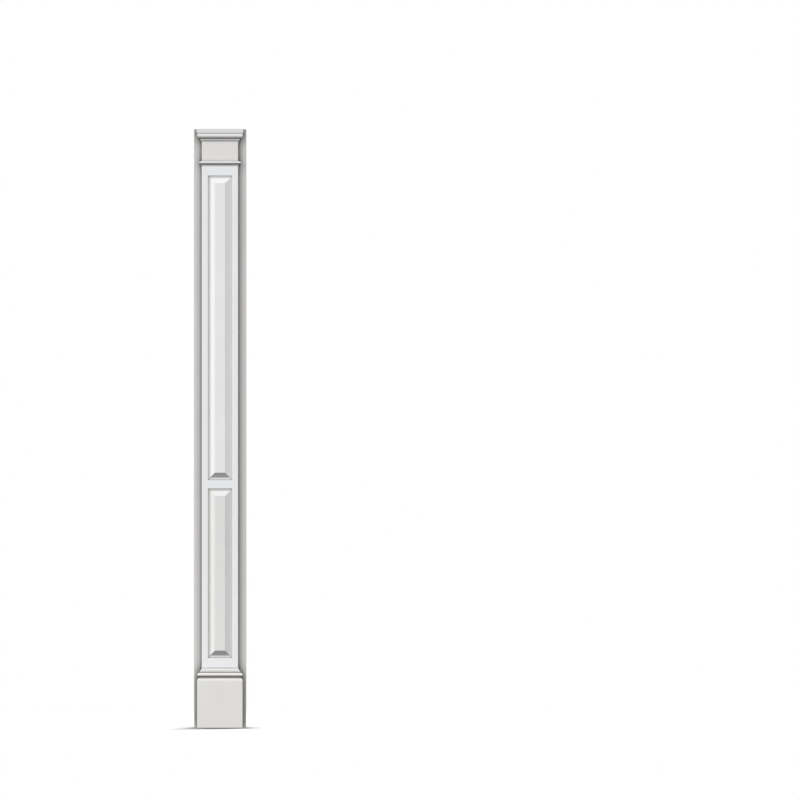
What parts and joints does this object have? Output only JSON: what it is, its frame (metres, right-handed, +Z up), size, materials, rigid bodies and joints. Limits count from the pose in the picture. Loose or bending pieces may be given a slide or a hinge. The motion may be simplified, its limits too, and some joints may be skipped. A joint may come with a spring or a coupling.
{
  "type": "panelled pilaster",
  "caption": "Painted timber pilaster on a backing board: panelled shaft with raised and fielded panels, moulded base and capital, plinth block, for fixing flat to a wall.",
  "frame": {"origin": "centre of the backing board's back, which lies flat on the wall", "axes": "+Z up along the pilaster, +Y into the wall, so the pilaster faces -Y, and +X to the right of someone who looks at its face"},
  "size_m": [0.2, 0.0589, 2.286],
  "materials": {
    "shaft_paint": "satin",
    "panel_paint": "satin",
    "block_paint": "satin",
    "moulding_paint": "satin",
    "backing_paint": "satin"
  },
  "bodies": {
    "root": {"backing_board": "backing_paint", "plinth_block": "block_paint", "base_moulding": "moulding_paint", "shaft_frame": "shaft_paint", "upper_panel": "panel_paint", "lower_panel": "panel_paint", "astragal": "moulding_paint", "necking_block": "block_paint", "capital_moulding": "moulding_paint"}
  },
  "joints": []
}
